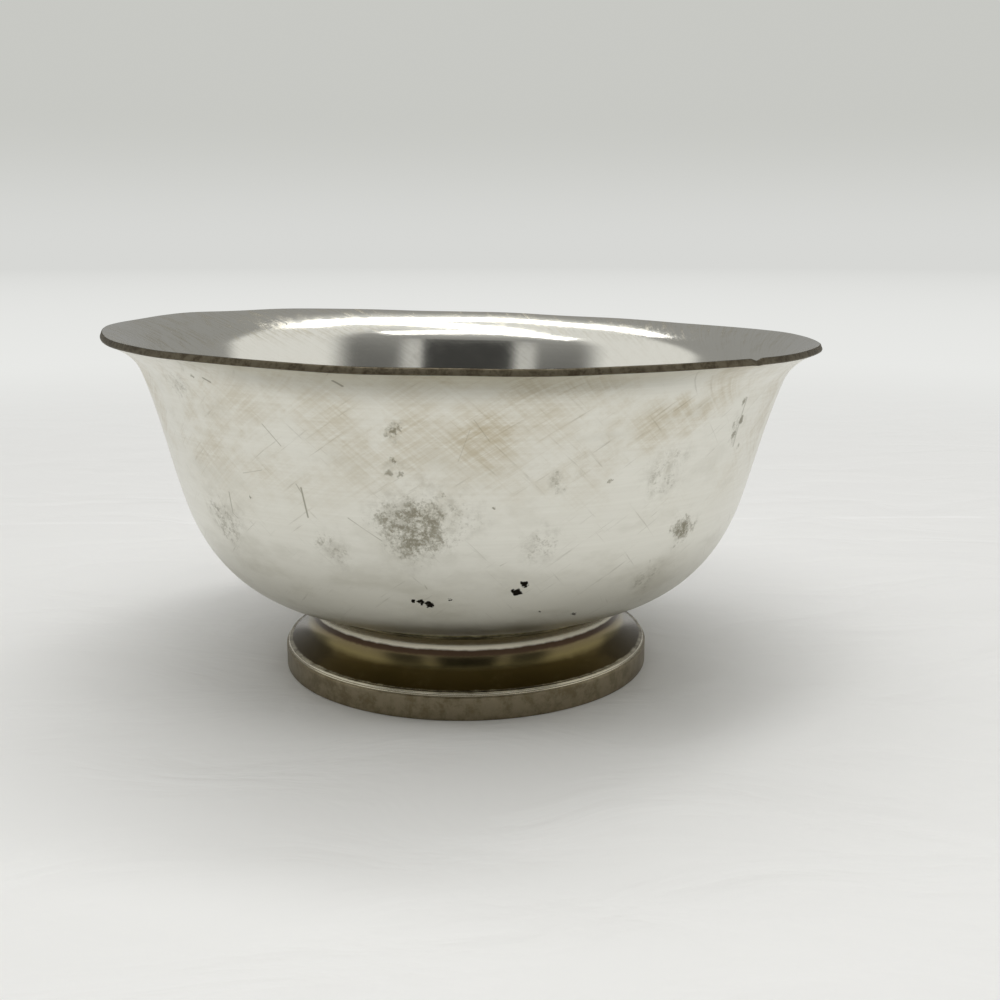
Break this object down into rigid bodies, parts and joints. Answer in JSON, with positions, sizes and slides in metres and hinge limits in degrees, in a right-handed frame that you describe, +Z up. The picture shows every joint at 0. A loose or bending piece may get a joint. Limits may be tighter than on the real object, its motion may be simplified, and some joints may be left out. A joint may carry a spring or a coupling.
{
  "type": "revere bowl",
  "caption": "Round footed metal bowl with an ogee side, a flared lip with a plain cut edge, and a coved foot ring with a beaded band.",
  "frame": {"origin": "on the bowl's axis at the level of the foot's underside", "axes": "+Z up along the bowl's axis; the bowl is the same all round"},
  "size_m": [0.1518, 0.1518, 0.0762],
  "materials": {
    "bowl_body": "worn silver plate, satin from fine scratches, with faint tarnish",
    "foot_ring": "silver plate, polished in the cove and rubbed satin on the band",
    "solder_seam": "dull tarnished solder"
  },
  "bodies": {
    "root": {"bowl_body": "bowl_body", "foot_ring": "foot_ring", "solder_seam": "solder_seam"}
  },
  "joints": []
}
